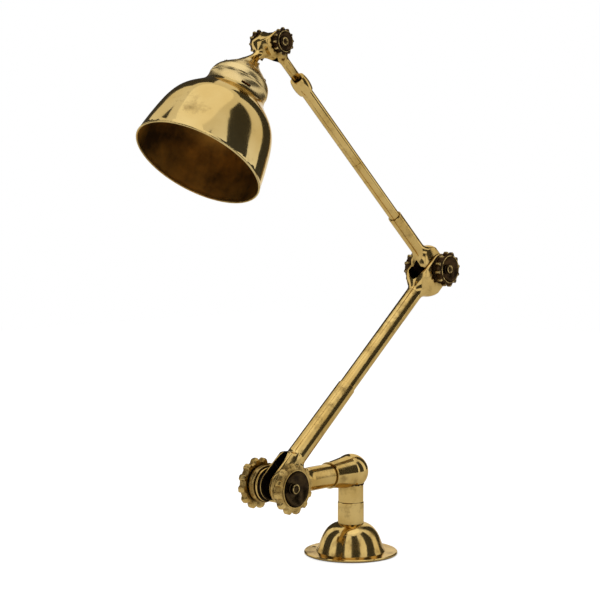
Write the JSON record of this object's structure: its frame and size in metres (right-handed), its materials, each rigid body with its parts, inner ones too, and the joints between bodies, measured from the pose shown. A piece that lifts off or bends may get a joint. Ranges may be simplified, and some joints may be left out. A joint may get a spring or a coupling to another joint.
{
  "type": "articulating wall lamp",
  "caption": "Brass wall lamp with two jointed arms, star hand wheels at each joint, a swivelling round base and a bell shade.",
  "frame": {"origin": "centre of the base's mounting face, on the swivel axis", "axes": "+Z away from the mounting surface along the swivel axis; the stub points to -X and the arm hinges lie along Y at rest"},
  "size_m": [0.4812, 0.1426, 0.6022],
  "materials": {
    "polished_brass": "polished and slightly aged",
    "shade_brass": "polished outside, brown inside",
    "wheel_brass": "cast and worn bright on the edges",
    "dark_brass": "dark brown patina, worn on the edges",
    "raw_brass": "plain turned",
    "screw_steel": "dull",
    "fibre": "matt",
    "white_ceramic": "glazed"
  },
  "bodies": {
    "base": {"base_canopy": "polished_brass", "base_collar": "polished_brass", "base_spigot": "raw_brass", "base_spigot_nut": "raw_brass"},
    "swivel": {"swivel_collar": "polished_brass", "elbow_ball": "polished_brass", "boss_ring": "polished_brass"},
    "stub": {"stub_spigot": "raw_brass", "stub_spigot_nut": "raw_brass", "stub_tube": "polished_brass", "shoulder_yoke": "polished_brass", "shoulder_bolt": "screw_steel", "shoulder_friction_washers": "fibre", "shoulder_drum_front": "wheel_brass", "shoulder_drum_back": "wheel_brass", "shoulder_nut_front": "wheel_brass", "shoulder_nut_back": "wheel_brass"},
    "shoulder_wheel_near": {"shoulder_wheel_front": "wheel_brass"},
    "shoulder_wheel_far": {"shoulder_wheel_back": "wheel_brass"},
    "lower_arm": {"shoulder_fork": "polished_brass", "lower_sleeve": "polished_brass", "lower_tube": "polished_brass", "elbow_yoke": "polished_brass", "elbow_bolt": "screw_steel", "elbow_friction_washers": "fibre", "elbow_drum_front": "dark_brass", "elbow_drum_back": "dark_brass", "elbow_nut_front": "dark_brass", "elbow_nut_back": "dark_brass"},
    "elbow_wheel_near": {"elbow_wheel_front": "dark_brass"},
    "elbow_wheel_far": {"elbow_wheel_back": "dark_brass"},
    "upper_arm": {"elbow_fork": "polished_brass", "upper_socket": "polished_brass", "upper_tube_near": "polished_brass", "upper_tube_far": "polished_brass", "upper_tube_joiner": "polished_brass", "head_ferrule": "polished_brass"},
    "head": {"head_fork": "polished_brass", "head_retainer": "raw_brass"},
    "shade": {"shade_yoke": "polished_brass", "shade_stem": "polished_brass", "stem_set_screw": "screw_steel", "shade_cap": "polished_brass", "cap_screws": "screw_steel", "shade_bell": "shade_brass", "nipple": "raw_brass", "locknut": "raw_brass", "holder_cap": "polished_brass", "holder_shell": "polished_brass", "holder_insulator": "white_ceramic", "thread_insert": "polished_brass", "centre_contact": "polished_brass", "head_bolt": "screw_steel", "head_friction_washers": "fibre", "head_drum_front": "dark_brass", "head_drum_back": "dark_brass", "head_nut_front": "dark_brass", "head_nut_back": "dark_brass"},
    "head_wheel_near": {"head_wheel_front": "dark_brass"},
    "head_wheel_far": {"head_wheel_back": "dark_brass"}
  },
  "joints": [
    {"name": "base_swivel", "type": "hinge", "parent": "base", "child": "swivel", "pos_m": [0, 0, 0.0611], "axis": [0, 0, 1], "range_deg": [-175, 175]},
    {"name": "stub_swivel", "type": "hinge", "parent": "swivel", "child": "stub", "pos_m": [0, 0, 0.097], "axis": [1, 0, 0], "range_deg": [-90, 90]},
    {"name": "shoulder_hinge", "type": "hinge", "parent": "stub", "child": "lower_arm", "pos_m": [-0.13, 0, 0.097], "axis": [0, 1, 0], "range_deg": [-75, 4]},
    {"name": "shoulder_wheel_near_turn", "type": "hinge", "parent": "stub", "child": "shoulder_wheel_near", "pos_m": [-0.13, 0, 0.097], "axis": [0, 1, 0], "continuous": true},
    {"name": "shoulder_wheel_far_turn", "type": "hinge", "parent": "stub", "child": "shoulder_wheel_far", "pos_m": [-0.13, 0, 0.097], "axis": [0, 1, 0], "continuous": true},
    {"name": "elbow_hinge", "type": "hinge", "parent": "lower_arm", "child": "upper_arm", "pos_m": [0.15396, 0, 0.33108], "axis": [0, 1, 0], "range_deg": [-30, 95]},
    {"name": "elbow_wheel_near_turn", "type": "hinge", "parent": "lower_arm", "child": "elbow_wheel_near", "pos_m": [0.15396, 0, 0.33108], "axis": [0, 1, 0], "continuous": true},
    {"name": "elbow_wheel_far_turn", "type": "hinge", "parent": "lower_arm", "child": "elbow_wheel_far", "pos_m": [0.15396, 0, 0.33108], "axis": [0, 1, 0], "continuous": true},
    {"name": "head_swivel", "type": "hinge", "parent": "upper_arm", "child": "head", "pos_m": [-0.13514, 0, 0.58685], "axis": [-0.749, 0, 0.6626], "range_deg": [-170, 170]},
    {"name": "shade_hinge", "type": "hinge", "parent": "head", "child": "shade", "pos_m": [-0.13514, 0, 0.58685], "axis": [0, 1, 0], "range_deg": [-35, 90]},
    {"name": "head_wheel_near_turn", "type": "hinge", "parent": "shade", "child": "head_wheel_near", "pos_m": [-0.13514, 0, 0.58685], "axis": [0, 1, 0], "continuous": true},
    {"name": "head_wheel_far_turn", "type": "hinge", "parent": "shade", "child": "head_wheel_far", "pos_m": [-0.13514, 0, 0.58685], "axis": [0, 1, 0], "continuous": true}
  ]
}
